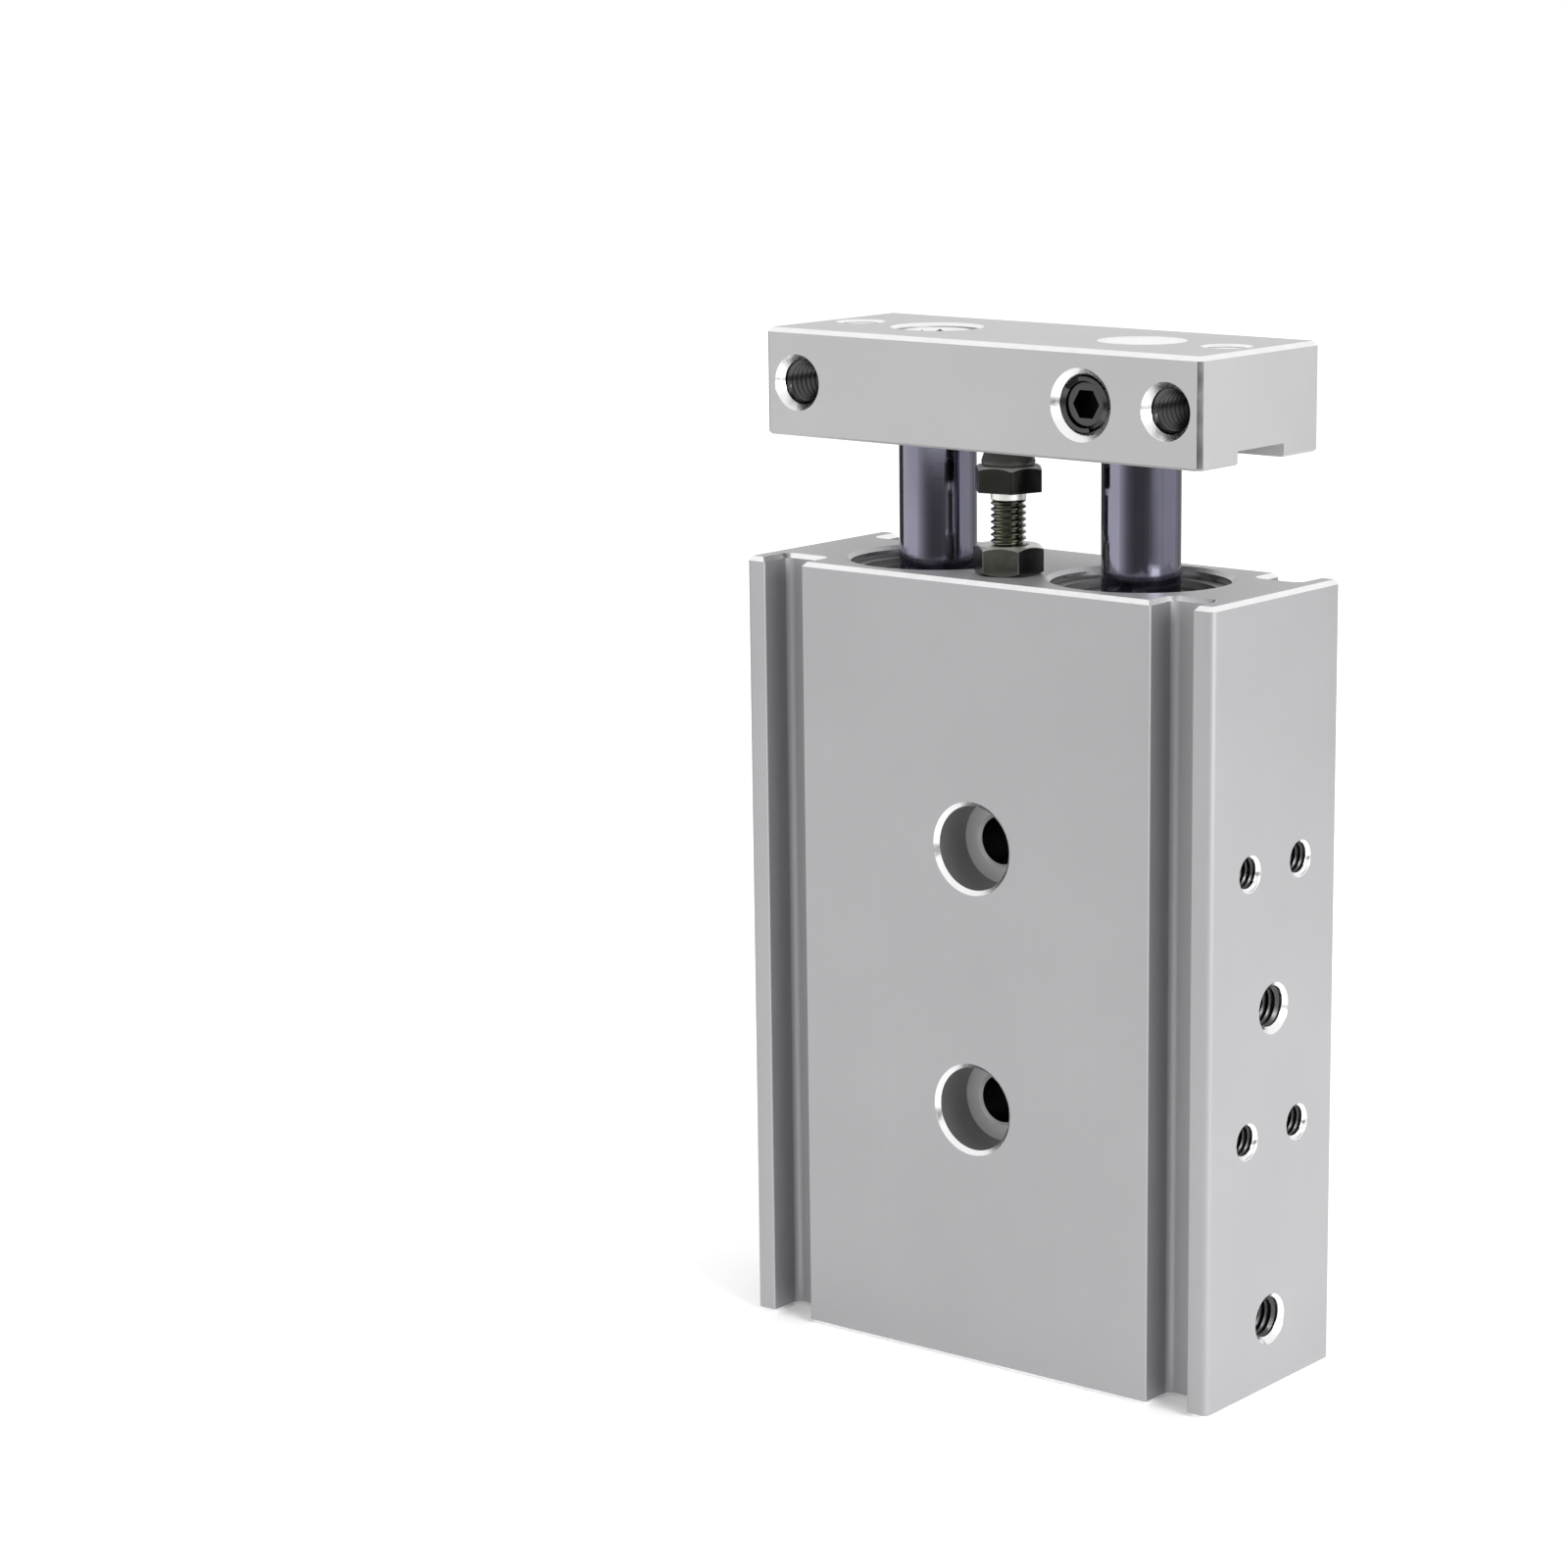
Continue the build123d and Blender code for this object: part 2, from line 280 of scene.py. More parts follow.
class Shader:
    """A small helper that builds one node material."""

    def __init__(self, name):
        self.material = bpy.data.materials.new(name)
        self.material.use_nodes = True
        self.nodes = self.material.node_tree.nodes
        self.links = self.material.node_tree.links
        self.nodes.clear()
        self.output = self.nodes.new("ShaderNodeOutputMaterial")
        self.surface = self.nodes.new("ShaderNodeBsdfPrincipled")
        self.links.new(self.surface.outputs[0], self.output.inputs["Surface"])
        self.place = self.nodes.new("ShaderNodeTexCoord").outputs["Object"]

    def stretched(self, x, y, z):
        """The object's own coordinates, scaled along each axis."""
        mapping = self.nodes.new("ShaderNodeMapping")
        mapping.inputs["Scale"].default_value = (x, y, z)
        self.links.new(self.place, mapping.inputs["Vector"])
        return mapping.outputs[0]

    def noise(self, scale, detail=3.0, place=None):
        """Noise with features about 1/scale metres apart."""
        texture = self.nodes.new("ShaderNodeTexNoise")
        texture.inputs["Scale"].default_value = scale
        texture.inputs["Detail"].default_value = detail
        texture.inputs["Roughness"].default_value = 0.55
        self.links.new(place or self.place, texture.inputs["Vector"])
        return texture.outputs["Fac"]

    def between(self, value, low, high):
        """A noise value spread from low to high."""
        spread = self.nodes.new("ShaderNodeMapRange")
        spread.inputs["From Min"].default_value = 0.3
        spread.inputs["From Max"].default_value = 0.7
        spread.inputs["To Min"].default_value = low
        spread.inputs["To Max"].default_value = high
        self.links.new(value, spread.inputs["Value"])
        return spread.outputs["Result"]

    def colours(self, value, low, high):
        """A colour ramp between two (position, colour) stops."""
        ramp = self.nodes.new("ShaderNodeValToRGB")
        for element, (position, colour) in zip(ramp.color_ramp.elements, (low, high)):
            element.position = position
            element.color = (*colour, 1)
        self.links.new(value, ramp.inputs["Fac"])
        return ramp.outputs["Color"]

    def clouded(self, value, colour, share):
        """A colour that darkens to a share of itself where a noise is low."""
        dark = tuple(part * share for part in colour)
        return self.colours(value, (0.3, dark), (0.7, colour))

    def bump(self, height, distance, after=None):
        """A bump of a height in metres, on top of an earlier one."""
        bump = self.nodes.new("ShaderNodeBump")
        bump.inputs["Distance"].default_value = distance
        bump.inputs["Strength"].default_value = 1.0
        self.links.new(height, bump.inputs["Height"])
        if after:
            self.links.new(after, bump.inputs["Normal"])
        return bump.outputs["Normal"]

    def set(self, **values):
        """Sets the surface's sockets to numbers, or links them."""
        for name, value in values.items():
            socket = self.surface.inputs[name.replace("_", " ")]
            if isinstance(value, bpy.types.NodeSocket):
                self.links.new(value, socket)
            else:
                socket.default_value = value
        return self.material


def anodised(name, colour, stretch, metallic=0.45):
    """Fine matte anodised aluminium, with faint lines along one direction."""
    shader = Shader(name)
    lines = shader.noise(1.0, 2.0, shader.stretched(*stretch))
    cloud = shader.noise(60.0, 4.0)
    grain = shader.noise(5200.0, 2.0)
    dark = tuple(part * 0.965 for part in colour)
    light = tuple(part * 1.03 for part in colour)
    normal = shader.bump(grain, 0.00001)
    normal = shader.bump(lines, 0.000002, after=normal)
    return shader.set(
        Base_Color=shader.colours(cloud, (0.25, dark), (0.75, light)),
        Metallic=metallic,
        Roughness=shader.between(lines, 0.42, 0.47),
        Normal=normal,
    )


def bare_metal_and_highlight(name, colour, roughness):
    """Bright bare aluminium where a tool has cut through the anodised skin, brightened further as a
    painted highlight on chamfers and edges.
    """
    shader = Shader(name)
    marks = shader.noise(2600.0, 2.0)
    cloud = shader.noise(420.0, 3.0)
    return shader.set(
        Base_Color=shader.clouded(cloud, colour, 0.94),
        Metallic=1.0,
        Roughness=shader.between(marks, roughness * 0.8, roughness * 1.2),
        Normal=shader.bump(marks, 0.000003),
    )


def turned_metal(name, colour, roughness, wear=0.05):
    """Bare or plated metal with fine tool marks and a little unevenness."""
    shader = Shader(name)
    marks = shader.noise(1.0, 2.0, shader.stretched(300, 300, 9000))
    cloud = shader.noise(380.0, 4.0)
    return shader.set(
        Base_Color=shader.clouded(cloud, colour, 1 - wear),
        Metallic=1.0,
        Roughness=shader.between(cloud, roughness * 0.85, roughness * 1.25),
        Normal=shader.bump(marks, 0.000004),
    )


def chrome(name, colour):
    """Ground and polished hard chrome, with faint rings left by grinding."""
    shader = Shader(name)
    rings = shader.noise(1.0, 2.0, shader.stretched(120, 120, 14000))
    cloud = shader.noise(160.0, 3.0)
    return shader.set(
        Base_Color=shader.clouded(cloud, colour, 0.93),
        Metallic=1.0,
        Roughness=shader.between(rings, 0.07, 0.13),
        Normal=shader.bump(rings, 0.0000012),
    )


def soft(name, colour, roughness, coat=0.0):
    """Rubber or urethane, with a fine moulded skin."""
    shader = Shader(name)
    grain = shader.noise(4200.0, 3.0)
    cloud = shader.noise(300.0, 3.0)
    return shader.set(
        Base_Color=shader.clouded(cloud, colour, 0.85),
        Roughness=shader.between(grain, roughness * 0.9, roughness * 1.1),
        Coat_Weight=coat,
        Normal=shader.bump(grain, 0.00001),
    )


body_finish = anodised("body_anodised", (0.44, 0.44, 0.45), (2600, 2600, 22))
plate_finish = anodised("plate_anodised", (0.515, 0.515, 0.52), (60, 2400, 2400))
# Painted highlight: chamfers, hole mouths, thread starts, rod ends and the cap screw's top edge get
# this bright metal, partly bare cut metal and partly painted highlight.
bare_edge_and_highlight = bare_metal_and_highlight("bare_edge_and_painted_highlight", (0.93, 0.93, 0.94), 0.24)
bore_finish = turned_metal("bore_honed", (0.30, 0.30, 0.31), 0.22)
# Painted shade: a darker anodised colour for the sensor grooves' side walls, where shade falls
# between the walls.
groove_shade_finish = anodised("groove_painted_shade", (0.36, 0.36, 0.37), (2600, 2600, 22), 0.75)
# Painted shade: a darker metal for the chamfers along the plate's upright corners.
plate_corner_shade_finish = turned_metal("plate_corner_painted_shade", (0.37, 0.37, 0.375), 0.22, 0.03)
# Painted shade: near-black metal for threads and walls inside tapped holes and for the set screw's
# recessed front, where shade falls.
hole_shade_finish = turned_metal("hole_painted_shade", (0.085, 0.085, 0.088), 0.26)
# Painted shade: a dark anodised colour for the walls of the counterbores.
counterbore_shade_finish = anodised("counterbore_painted_shade", (0.21, 0.21, 0.215), (500, 6000, 500), 0.5)
# Painted shade: near-black metal for the walls of the narrow through holes.
through_hole_shade_finish = turned_metal("through_hole_painted_shade", (0.06, 0.06, 0.062), 0.40, 0.15)
# Painted light: a lighter copy of the anodised colour for the counterbores' seats, deep in their
# recess.
seat_light_finish = anodised("seat_painted_light", (0.66, 0.66, 0.67), (900, 900, 900), 0.35)
mouth_finish = turned_metal("mouth_turned", (0.44, 0.44, 0.45), 0.26)
retainer_finish = turned_metal("retainer_turned", (0.86, 0.86, 0.87), 0.20)
cover_finish = turned_metal("cover_turned", (0.60, 0.60, 0.61), 0.32)
piston_finish = turned_metal("piston_turned", (0.58, 0.58, 0.59), 0.30)
ring_finish = turned_metal("ring_phosphated", (0.20, 0.20, 0.20), 0.32, 0.15)
screw_finish = turned_metal("screw_nickel", (0.42, 0.42, 0.43), 0.20, 0.12)
# Painted shade: near-black metal for the inside of hexagon sockets.
socket_shade_finish = turned_metal("socket_painted_shade", (0.05, 0.05, 0.052), 0.30, 0.15)
bolt_finish = turned_metal("stop_bolt_nickel", (0.055, 0.055, 0.047), 0.16, 0.25)
crest_finish = turned_metal("stop_bolt_thread", (0.21, 0.21, 0.175), 0.14, 0.2)
# Painted highlight: near-white metal for the stop bolt's neck, its head's top chamfer and the nut's
# top chamfer.
bolt_highlight_finish = turned_metal("stop_bolt_painted_highlight", (0.92, 0.92, 0.88), 0.45, 0.06)
nut_finish = turned_metal("lock_nut_nickel", (0.19, 0.19, 0.165), 0.22, 0.25)
rod_finish = chrome("rod_chrome", (0.25, 0.245, 0.315))
magnet_finish = turned_metal("magnet_sintered", (0.10, 0.10, 0.11), 0.55, 0.2)
rubber_finish = soft("seal_rubber", (0.025, 0.025, 0.027), 0.55)
urethane_finish = soft("bumper_urethane", (0.035, 0.034, 0.03), 0.38, 0.3)


def finished(piece, body, finishes, replaces=()):
    """Gives a piece its materials, makes it ride on its body and hides the CAD nodes that it
    replaces.
    """
    for finish in finishes:
        piece.data.materials.append(finish)
    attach(piece, body)
    if replaces:
        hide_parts(*replaces)
    return piece


def paint_inside(piece, finish, test):
    """Gives one of the piece's materials to the faces whose middle and normal pass a test."""
    index = list(piece.data.materials).index(finish)
    for polygon in piece.data.polygons:
        if test(polygon.center / MM, polygon.normal):
            polygon.material_index = index


def sloped(part):
    """Whether one part of a normal is that of a chamfer's face."""
    return 0.3 < abs(part) < 0.95


# Holes and threads

# How far a cutter reaches past the face that it cuts
BEYOND = 1
# Pitch, tap drill's radius and radius at the thread's root
THREADS = {"M4": (0.7, 1.65, 2.0), "M5": (0.8, 2.1, 2.5)}
THREAD_SHADE_ANGLE = 50


def thread_profile(first, second):
    """One turn of a thread: flat, flank, flat and flank, between two radii."""
    return [(0.0, first), (0.12, first), (0.5, second), (0.62, second)]


def tapped_wall(size, top, bottom, place, steep=1.0):
    """The inner thread of a tapped hole, between two depths below its mouth."""
    pitch, minor, major = THREADS[size]
    return helix("thread", thread_profile(minor, major), pitch, -bottom, -top, place, taper=steep)


def hole_cutter(outline, place, segments=96):
    """A cutter for a turned hole that goes down from its place."""
    return lathe("cutter", outline, place, segments)


def tapped_cutter(size, depth, chamfer, place, steep=1.0):
    """A cutter for a tapped hole: tap drill, room for the thread and a coned mouth."""
    minor, major = THREADS[size][1:]
    mouth = minor + chamfer
    thread_end = -depth + 0.5
    outline = [
        (0, -depth),
        (minor, -depth),
        (minor, thread_end),
        (major, thread_end),
        (major, steep * (major - mouth)),
        (mouth, 0),
        (mouth, BEYOND),
        (0, BEYOND),
    ]
    return hole_cutter(outline, place)


# The body

EDGE_RADIUS = 0.8
END_CHAMFER = 0.5
MOUTH_CHAMFER = 0.45
GROOVE_RIB = 2.65
GROOVE_WIDTH = 5.45
GROOVE_DEPTH = 4.4
GROOVE_FLOOR_RADIUS = 0.9
GROOVE_LIP_RADIUS = 0.22
FRONT_HOLES = (30.0, 60.0)
THROUGH_RADIUS = 2.75
BACK_CHAMFER = 0.3
SEAT_CHAMFER = 0.35
COUNTERBORE_RADIUS = 4.8
COUNTERBORE_DEPTH = 5.3
COUNTERBORE_CHAMFER = 0.5
SIDE_HOLE_Y = 5.0
SIDE_HOLE_DEPTH = 6.0
SIDE_HOLE_CHAMFER = 0.45
SIDE_THREAD_TOP = 0.1
SIDE_THREAD_BOTTOM = 5.5
PORT_HEIGHTS = (8.35, 44.1)
PORT_CHAMFER = 0.8
PORT_THREAD_TOP = 0.4
PASSAGE_RADIUS = 1.5
BOLT_HOLE_RADIUS = 2.04
BOLT_HOLE_DEPTH = 20
RING_BITE = 0.5
RING_PLAY = 0.03


def body_outline():
    """The extruded section, with its four sensor grooves."""
    outer = HALF_WIDTH - GROOVE_RIB
    inner = outer - GROOVE_WIDTH
    floor = GROOVE_DEPTH - HALF_DEPTH
    front = [(-HALF_WIDTH, -HALF_DEPTH, EDGE_RADIUS)]
    for start, end in ((-outer, -inner), (inner, outer)):
        front.append((start, -HALF_DEPTH, GROOVE_LIP_RADIUS))
        front.append((start, floor, GROOVE_FLOOR_RADIUS))
        front.append((end, floor, GROOVE_FLOOR_RADIUS))
        front.append((end, -HALF_DEPTH, GROOVE_LIP_RADIUS))
    front.append((HALF_WIDTH, -HALF_DEPTH, EDGE_RADIUS))
    return front + [(-x, -y, radius) for x, y, radius in front]


def bore_outline():
    """The bore's wall from end to end, with the grooves for its retaining rings."""
    mouth = BORE_RADIUS + MOUTH_CHAMFER
    groove = BORE_RADIUS + RING_BITE
    outline = [(0, -BEYOND), (mouth, -BEYOND), (mouth, 0), (BORE_RADIUS, MOUTH_CHAMFER)]
    for low, high in ((lower_ring_low.z, lower_ring_high.z), (upper_ring_low.z, upper_ring_high.z)):
        outline += [(BORE_RADIUS, low - RING_PLAY), (groove, low - RING_PLAY)]
        outline += [(groove, high + RING_PLAY), (BORE_RADIUS, high + RING_PLAY)]
    outline += [(BORE_RADIUS, BODY_LENGTH - MOUTH_CHAMFER), (mouth, BODY_LENGTH)]
    outline += [(mouth, BODY_LENGTH + BEYOND), (0, BODY_LENGTH + BEYOND)]
    return outline


def through_hole_outline():
    """A through hole and its counterbore, measured down from the front."""
    back = -2 * HALF_DEPTH
    return [
        (0, back - BEYOND),
        (THROUGH_RADIUS + BACK_CHAMFER, back - BEYOND),
        (THROUGH_RADIUS + BACK_CHAMFER, back),
        (THROUGH_RADIUS, back + BACK_CHAMFER),
        (THROUGH_RADIUS, -COUNTERBORE_DEPTH - SEAT_CHAMFER),
        (THROUGH_RADIUS + SEAT_CHAMFER, -COUNTERBORE_DEPTH),
        (COUNTERBORE_RADIUS, -COUNTERBORE_DEPTH),
        (COUNTERBORE_RADIUS, -COUNTERBORE_CHAMFER),
        (COUNTERBORE_RADIUS + COUNTERBORE_CHAMFER, 0),
        (COUNTERBORE_RADIUS + COUNTERBORE_CHAMFER, BEYOND),
        (0, BEYOND),
    ]


def make_body():
    """The extruded block with every hole, and its threads as a second piece."""
    block = prism("body_block", body_outline(), 0, BODY_LENGTH, END_CHAMFER)
    cutters = [hole_cutter(bore_outline(), upright(x), 144) for x in SIDES.values()]
    threads = []
    for height in FRONT_HOLES:
        front = facing(0, -HALF_DEPTH, height, (0, -1, 0))
        cutters.append(hole_cutter(through_hole_outline(), front))
        for y in (-SIDE_HOLE_Y, SIDE_HOLE_Y):
            mouth = facing(HALF_WIDTH, y, height, (1, 0, 0))
            cutters.append(tapped_cutter("M4", SIDE_HOLE_DEPTH, SIDE_HOLE_CHAMFER, mouth))
            threads.append(tapped_wall("M4", SIDE_THREAD_TOP, SIDE_THREAD_BOTTOM, mouth))
    for height in PORT_HEIGHTS:
        mouth = facing(HALF_WIDTH, 0, height, (1, 0, 0))
        cutters.append(tapped_cutter("M5", SIDE_HOLE_DEPTH, PORT_CHAMFER, mouth))
        threads.append(tapped_wall("M5", PORT_THREAD_TOP, SIDE_THREAD_BOTTOM, mouth))
        end = -HALF_WIDTH - BORE_X
        passage = [(0, end), (PASSAGE_RADIUS, end), (PASSAGE_RADIUS, 0), (0, 0)]
        cutters.append(hole_cutter(passage, mouth, 48))
    bolt_hole = [
        (0, -BOLT_HOLE_DEPTH),
        (BOLT_HOLE_RADIUS, -BOLT_HOLE_DEPTH),
        (BOLT_HOLE_RADIUS, 0),
        (BOLT_HOLE_RADIUS, BEYOND),
        (0, BEYOND),
    ]
    cutters.append(hole_cutter(bolt_hole, upright(0, BOLT_Y, BODY_LENGTH), 64))
    block = shade(cut(block, cutters))
    finishes = [body_finish, bore_finish, bare_edge_and_highlight, groove_shade_finish, counterbore_shade_finish]
    finishes += [through_hole_shade_finish, seat_light_finish, mouth_finish, hole_shade_finish]
    finished(block, "housing", finishes, ["body"])
    # Painted shade on the grooves' side walls.
    paint_inside(block, groove_shade_finish, on_groove_wall)
    # Painted shade inside the tapped holes and ports of the right side.
    paint_inside(block, hole_shade_finish, in_side_hole)
    # Painted shade on the counterbores' walls.
    paint_inside(block, counterbore_shade_finish, in_counterbore)
    # Painted shade in the narrow part of the through holes.
    paint_inside(block, through_hole_shade_finish, in_through_hole)
    # Painted light on the counterbores' seats.
    paint_inside(block, seat_light_finish, on_seat)
    paint_inside(block, bore_finish, in_bore)
    # Painted highlight on the end chamfers and the chamfers round the holes, partly bare cut
    # aluminium.
    paint_inside(block, bare_edge_and_highlight, on_bright_chamfer)
    paint_inside(block, mouth_finish, in_bore_mouth)
    # The threads carry painted shade, apart from their start at the cone.
    walls = shade(joined("body_threads", threads), THREAD_SHADE_ANGLE)
    finished(walls, "housing", [hole_shade_finish, bare_edge_and_highlight])
    # Painted highlight where the hole's cone cuts the thread.
    paint_inside(walls, bare_edge_and_highlight, on_side_cone)


def in_bore(middle, normal):
    """Whether a point of the body is on a bore's wall or in its mouth."""
    return any(math.hypot(middle.x - x, middle.y) < BORE_RADIUS + 0.9 for x in SIDES.values())


def in_bore_mouth(middle, normal):
    """Whether a face of the body is the chamfer of a bore's mouth."""
    return in_bore(middle, normal) and sloped(normal.z)


def on_groove_wall(middle, normal):
    """Whether a face of the body is a side wall of a sensor groove."""
    outer = HALF_WIDTH - GROOVE_RIB
    inside = outer - GROOVE_WIDTH - 0.1 < abs(middle.x) < outer + 0.1
    return inside and abs(normal.x) > 0.9 and abs(middle.y) < HALF_DEPTH - 0.3


def in_front_hole(middle, radius):
    """Whether a point is in a through hole, no further from its axis than the radius."""
    near = any(math.hypot(middle.x, middle.z - height) < radius for height in FRONT_HOLES)
    return near and abs(middle.y) < HALF_DEPTH - 0.1


def in_counterbore(middle, normal):
    """Whether a point of the body is in a through hole or its counterbore."""
    return in_front_hole(middle, COUNTERBORE_RADIUS + 0.1)


def in_through_hole(middle, normal):
    """Whether a point of the body is in the narrow part of a through hole."""
    return in_front_hole(middle, THROUGH_RADIUS + 0.01)


def on_seat(middle, normal):
    """Whether a face of the body is where a through hole's screw head sits."""
    seat = COUNTERBORE_DEPTH - HALF_DEPTH
    facing_out = normal.y < -0.3 and middle.y < seat + 0.5
    return in_front_hole(middle, COUNTERBORE_RADIUS) and facing_out


def in_side_hole(middle, normal):
    """Whether a point of the body is in a threaded hole or a port of the right side."""
    holes = [(SIDE_HOLE_Y, height, 2.3) for height in FRONT_HOLES]
    holes += [(0, height, 2.7) for height in PORT_HEIGHTS]
    near = any(math.hypot(abs(middle.y) - y, middle.z - z) < radius for y, z, radius in holes)
    return near and BORE_X + BORE_RADIUS - 1 < middle.x < HALF_WIDTH - 0.05


def on_side_cone(middle, normal):
    """Whether a point of a side hole's thread is where the chamfer's cone has cut it."""
    is_port = abs(middle.y) < SIDE_HOLE_Y - 2.3
    return middle.x > HALF_WIDTH - (PORT_CHAMFER if is_port else SIDE_HOLE_CHAMFER)


def on_bright_chamfer(middle, normal):
    """Whether a face of the body belongs to a chamfer along its ends or round a hole."""
    if sloped(normal.z) and (middle.z > BODY_LENGTH - 1 or middle.z < 1):
        return True
    near_front_hole = abs(middle.x) < COUNTERBORE_RADIUS + 1
    if sloped(normal.y) and near_front_hole and abs(middle.y) > HALF_DEPTH - 0.6:
        return True
    near_side_hole = middle.x > HALF_WIDTH - 1.0 and abs(middle.y) < SIDE_HOLE_Y + 3.5
    return sloped(normal.x) and near_side_hole


# The mouths of the bores

RING_OUTER = BORE_RADIUS + RING_BITE - 0.02
RING_INNER = RING_OUTER - 1.8
RING_SHIFT = 0.3
RING_HALF_GAP = 2.3
RING_THICKNESS = 1.0
LUG_WIDTH = 3.0
LUG_MIDDLE = RING_HALF_GAP + LUG_WIDTH / 2
EYE_Y = LUG_WIDTH / 2 + 3.0 - RING_OUTER
EYE_RADIUS = 0.7
RETAINER_CONE = 1.1


def ring_arc(radius, opening, shift, way):
    """An edge of a ring's band, round from one side of its opening to the other."""
    steps = 96
    start = -90 + math.degrees(math.asin(opening / radius))
    stop = 270 - math.degrees(math.asin(opening / radius))
    if way < 0:
        start, stop = stop, start
    points = []
    for step in range(steps + 1):
        angle = math.radians(start + (stop - start) * step / steps)
        points.append((radius * math.cos(angle), radius * math.sin(angle) - shift, 0))
    return points


def lug_end(way):
    """The round end of a ring's lug, left or right of the opening."""
    steps = 12
    points = []
    for step in range(steps + 1):
        angle = math.radians(180 * step / steps)
        x = way * LUG_MIDDLE + LUG_WIDTH / 2 * math.cos(angle)
        points.append((x, EYE_Y + LUG_WIDTH / 2 * math.sin(angle), 0))
    return points


def make_rings():
    """Retaining rings with drilled lugs, which replace the plain CAD rings."""
    outline = ring_arc(RING_OUTER, RING_HALF_GAP, 0, 1) + lug_end(-1)
    outline += ring_arc(RING_INNER, RING_HALF_GAP + LUG_WIDTH, RING_SHIFT, -1) + lug_end(1)
    eye = [(0, -BEYOND), (EYE_RADIUS, -BEYOND), (EYE_RADIUS, 2), (0, 2)]
    for side, x in SIDES.items():
        for end, low in (("rod", upper_ring_low.z), ("head", lower_ring_low.z)):
            ring = prism("ring", outline, 0, RING_THICKNESS, 0.06, upright(x, 0, low))
            eyes = [
                hole_cutter(eye, upright(x + way * LUG_MIDDLE, EYE_Y, low), 32) for way in (-1, 1)
            ]
            ring = shade(cut(ring, eyes))
            ring.name = f"{side}_{end}_ring"
            replaced = [f"{side}_{end}_retaining_ring"]
            finished(ring, "housing", [ring_finish], replaced)


def make_retainers():
    """The bright coned rings round the rods."""
    inner = ROD_RADIUS + 0.3
    outer = BORE_RADIUS - 0.02
    low, high = retainer_low.z, retainer_high.z
    corners = [
        (inner, low, 0),
        (outer, low, 0),
        (outer, high, 0.15),
        (inner + RETAINER_CONE, high, 0.12),
        (inner, high - RETAINER_CONE, 0.1),
    ]
    outline = rounded(corners, 4)
    for side, x in SIDES.items():
        piece = shade(lathe(f"{side}_retainer", outline, upright(x), 128, closed=True))
        replaced = [f"{side}_seal_retainer"]
        finished(piece, "housing", [retainer_finish], replaced)


# The rods

TAIL_TOP = 26.0
TAIL_RADIUS = 2.5
ROD_CHAMFER = 0.5
SCREW_HOLE_RADIUS = 2.52
SCREW_HOLE_DEPTH = 16


def make_rods():
    """Both rods, chromed, with the tails that carry the pistons."""
    for side, x, top in (("left", -BORE_X, left_rod_high.z), ("right", BORE_X, right_rod_high.z)):
        low = left_rod_low.z
        chamfer = ROD_CHAMFER if side == "right" else 0.0
        corners = [
            (0, low, 0),
            (TAIL_RADIUS, low, 0.3),
            (TAIL_RADIUS, TAIL_TOP, 0),
            (ROD_RADIUS, TAIL_TOP, 0.2),
            (ROD_RADIUS, top - chamfer, 0.1),
        ]
        if side == "right":
            corners += [(ROD_RADIUS - chamfer, top, 0.1), (0, top, 0)]
        else:
            corners += [(SCREW_HOLE_RADIUS, top, 0), (SCREW_HOLE_RADIUS, top - SCREW_HOLE_DEPTH, 0)]
            corners.append((0, top - SCREW_HOLE_DEPTH, 0))
        rod = shade(lathe(f"{side}_rod", rounded(corners, 4, closed=False), upright(x), 128))
        finished(rod, "rods", [rod_finish, bare_edge_and_highlight], [f"{side}_piston_rod"])
        # Painted highlight on the rod's end face and chamfer.
        paint_inside(
            rod, bare_edge_and_highlight, lambda middle, normal: normal.z > 0.3 and middle.z > top - 0.6
        )


# The plate

PLATE_CHAMFER = 0.5
PLATE_LOW_CHAMFER = 0.25
PLATE_HOLE_X = 25.0
CHANNEL_HALF = 4.5
CHANNEL_DEPTH = 1.5
ROD_HOLE_RADIUS = ROD_RADIUS + 0.02
ROD_HOLE_CHAMFER = 0.5
ROD_POCKET = 3.0
CAP_HOLE_RADIUS = 2.75
CAP_SEAT_RADIUS = 4.9
CAP_SEAT_DEPTH = 5.4
CAP_SEAT_CHAMFER = 0.35
SET_HOLE_RADIUS = 3.02
SET_HOLE_CHAMFER = 0.95
SET_PITCH = 1.0
TOP_HOLE_CHAMFER = 0.7
TOP_THREAD_TOP = 0.35
FRONT_HOLE_CHAMFER = 1.05
FRONT_HOLE_STEEP = 1.5
FRONT_HOLE_DEPTH = 9.0
FRONT_THREAD_TOP = 0.98
FRONT_THREAD_BOTTOM = 8.5


def plate_outline():
    """The plate from above, with its upright corners chamfered."""
    width, depth = plate_high.x, plate_high.y
    corners = [(-width, -depth), (width, -depth), (width, depth), (-width, depth)]
    outline = []
    for index, corner in enumerate(corners):
        here = Vector(corner)
        for other in (corners[index - 1], corners[(index + 1) % 4]):
            point = here + (Vector(other) - here).normalized() * PLATE_CHAMFER
            outline.append((point.x, point.y, CORNER_BREAK))
    return outline


